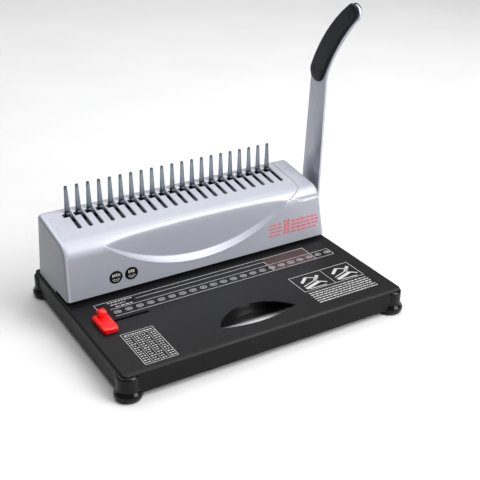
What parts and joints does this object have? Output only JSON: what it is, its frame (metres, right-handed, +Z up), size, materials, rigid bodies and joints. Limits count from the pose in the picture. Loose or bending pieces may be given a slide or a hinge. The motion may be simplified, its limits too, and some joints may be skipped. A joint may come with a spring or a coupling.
{
  "type": "comb binding machine",
  "caption": "Manual comb binding machine with a flat paper table, a silver cover with a row of tines and slotted hooks, a side lever that punches and opens combs, and an edge guide.",
  "frame": {"origin": "centre of the base's footprint, at table level under the feet", "axes": "+X along the row of holes towards the lever, +Y towards the back, +Z up"},
  "size_m": [0.389, 0.284, 0.3564],
  "materials": {
    "black_painted_steel": "satin",
    "black_plastic": "gloss",
    "rubber_foot": "matte",
    "zinc_steel": "bright",
    "ground_steel": "ground",
    "blue_steel": "satin",
    "bronze_bush": "satin",
    "natural_acetal": "satin",
    "silver_cover": "satin",
    "satin_strap": "satin",
    "grip_plastic": "fine texture",
    "red_plastic": "gloss"
  },
  "bodies": {
    "base": {"base_tray": "black_painted_steel", "corner_post_front_left": "black_plastic", "corner_post_front_right": "black_plastic", "corner_post_back_left": "black_plastic", "corner_post_back_right": "black_plastic", "rubber_feet": "rubber_foot", "foot_screws": "zinc_steel", "finger_recess": "black_plastic", "chip_tray_rails": "black_painted_steel", "sub_frame": "black_painted_steel", "side_frame_left": "blue_steel", "side_frame_right": "blue_steel", "shaft_bush_left": "bronze_bush", "shaft_bush_right": "bronze_bush", "die_plate": "ground_steel", "paper_stop_bar": "blue_steel", "punch_guide_plate": "ground_steel", "stack_screws": "zinc_steel", "plate_screws": "zinc_steel", "frame_screws": "zinc_steel", "guide_rods": "zinc_steel", "return_spring_left": "zinc_steel", "return_spring_right": "zinc_steel", "tine_plate": "blue_steel", "slide_rail_left": "natural_acetal", "slide_rail_right": "natural_acetal", "top_cover": "silver_cover", "end_cap_right": "silver_cover", "cover_screws": "zinc_steel", "badge_left": "black_plastic", "badge_right": "black_plastic"},
    "lever": {"main_shaft": "zinc_steel", "retaining_ring": "zinc_steel", "cam_left": "blue_steel", "cam_right": "blue_steel", "pinion_left": "blue_steel", "pinion_right": "blue_steel", "cross_pins": "zinc_steel", "lever_hub": "zinc_steel", "lever_arm": "satin_strap", "lever_bolt": "zinc_steel", "grip_inner": "grip_plastic", "grip_outer": "grip_plastic", "grip_screws": "zinc_steel"},
    "punch_unit": {"punch_bar": "ground_steel", "punches": "zinc_steel"},
    "hook_carriage": {"hook_plate": "blue_steel", "rack_left": "ground_steel", "rack_right": "ground_steel", "rack_screws": "zinc_steel"},
    "paper_guide": {"edge_guide": "red_plastic", "guide_clamp_plate": "zinc_steel", "guide_clamp_screw": "zinc_steel"},
    "chip_drawer": {"chip_tray": "black_plastic", "chip_tray_panel": "black_plastic"}
  },
  "joints": [
    {"name": "lever_hinge", "type": "hinge", "parent": "base", "child": "lever", "pos_m": [0, 0.0659, 0.084], "axis": [1, 0, 0], "range_deg": [0, 75]},
    {"name": "punch_slide", "type": "slide", "parent": "base", "child": "punch_unit", "axis": [0, 0, -1], "range_m": [0, 0.01052], "stiffness_N_per_m": 3200, "springref_m": -0.006, "deforming": ["return_spring_left", "return_spring_right"]},
    {"name": "hook_slide", "type": "slide", "parent": "base", "child": "hook_carriage", "axis": [0, -1, 0], "range_m": [0, 0.0246]},
    {"name": "guide_slide", "type": "slide", "parent": "base", "child": "paper_guide", "axis": [1, 0, 0], "range_m": [0, 0.044]},
    {"name": "chip_tray_slide", "type": "slide", "parent": "base", "child": "chip_drawer", "axis": [1, 0, 0], "range_m": [0, 0.25]}
  ],
  "couplings": [
    {"joint": "punch_slide", "follows": "lever_hinge", "m_per_rad": 0.008},
    {"joint": "hook_slide", "follows": "lever_hinge", "m_per_rad": 0.01875}
  ]
}
